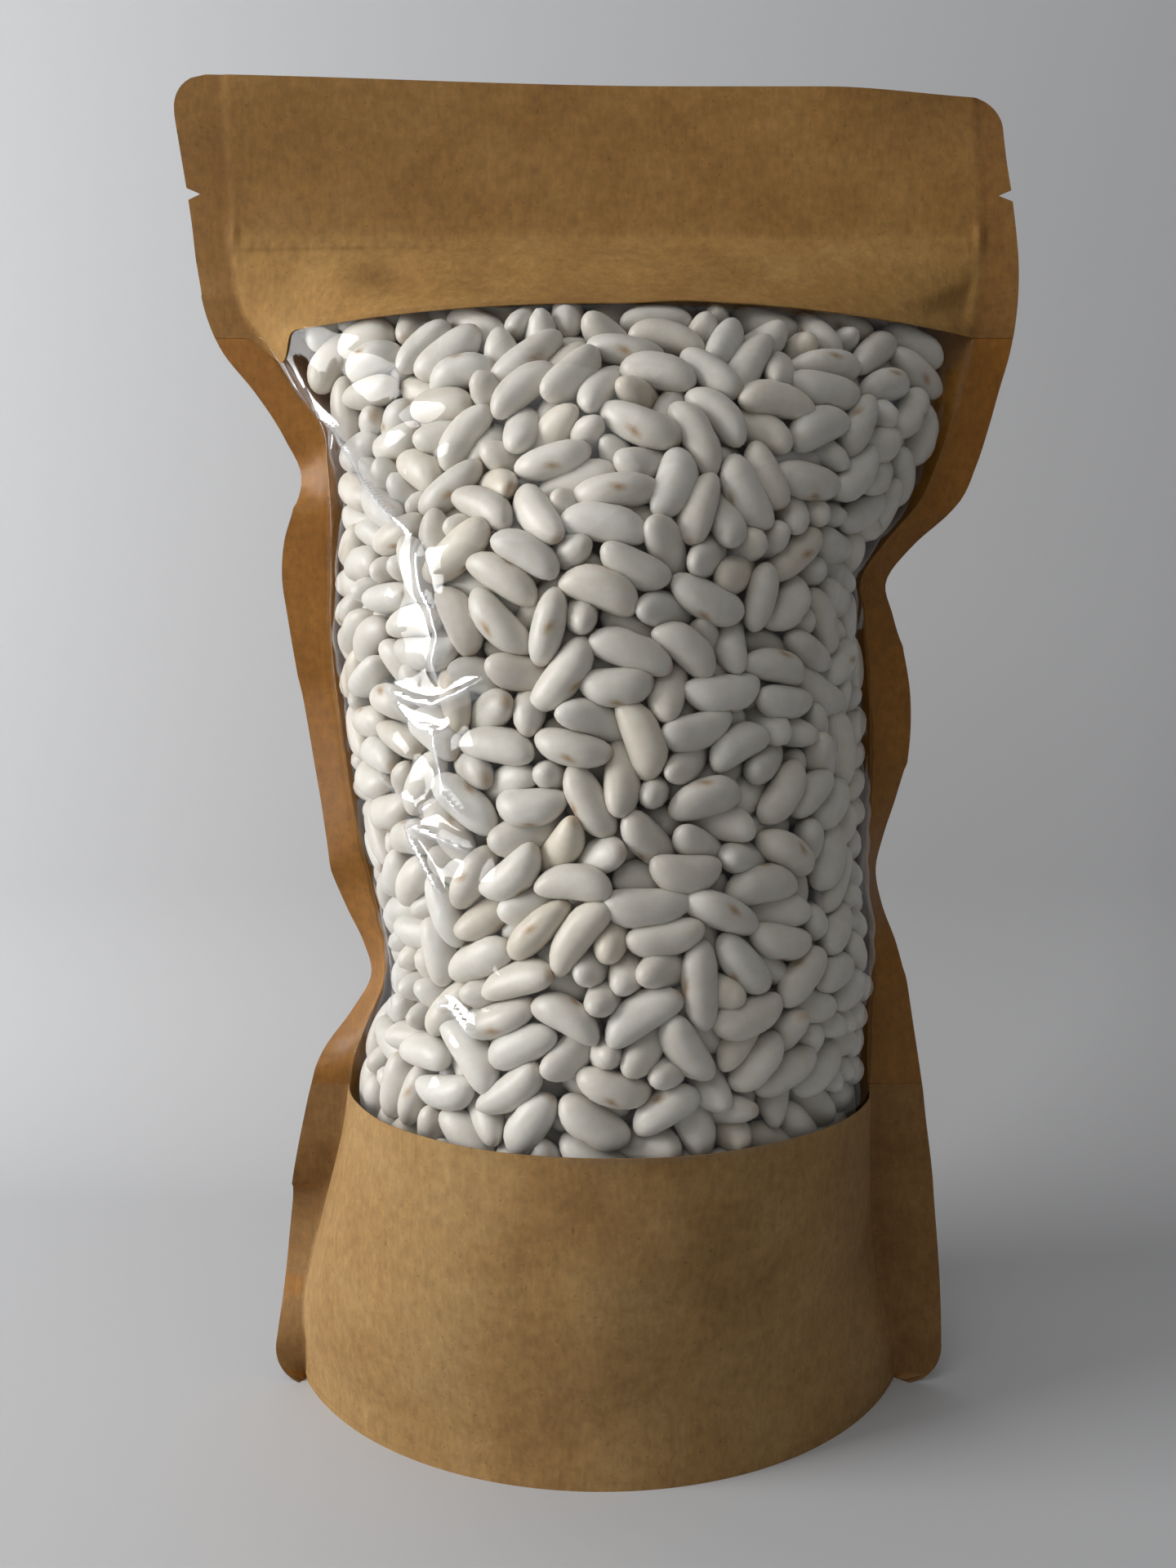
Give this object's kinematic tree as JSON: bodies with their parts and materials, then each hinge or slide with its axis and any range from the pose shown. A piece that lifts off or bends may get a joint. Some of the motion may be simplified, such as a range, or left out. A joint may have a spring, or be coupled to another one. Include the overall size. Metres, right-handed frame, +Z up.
{
  "type": "bag of dried beans",
  "caption": "Stand-up kraft paper pouch with side seals, tear notches and a clear front window, filled with dried white beans.",
  "frame": {"origin": "centre of the pouch's box, on the surface that its base stands on", "axes": "+X to the right seen from the front, -Y towards the front with the window, +Z up along the pouch's height"},
  "size_m": [0.183, 0.103, 0.286],
  "materials": {
    "kraft": "natural brown kraft paper laminated on a clear lining, matt outside",
    "clear_film": "clear glossy film with soft wrinkles",
    "bean": "dry off-white bean skin, softly glossy, with small tan scars"
  },
  "bodies": {
    "root": {"kraft_pouch": "kraft", "window_film": "clear_film", "beans": "bean"}
  },
  "joints": []
}
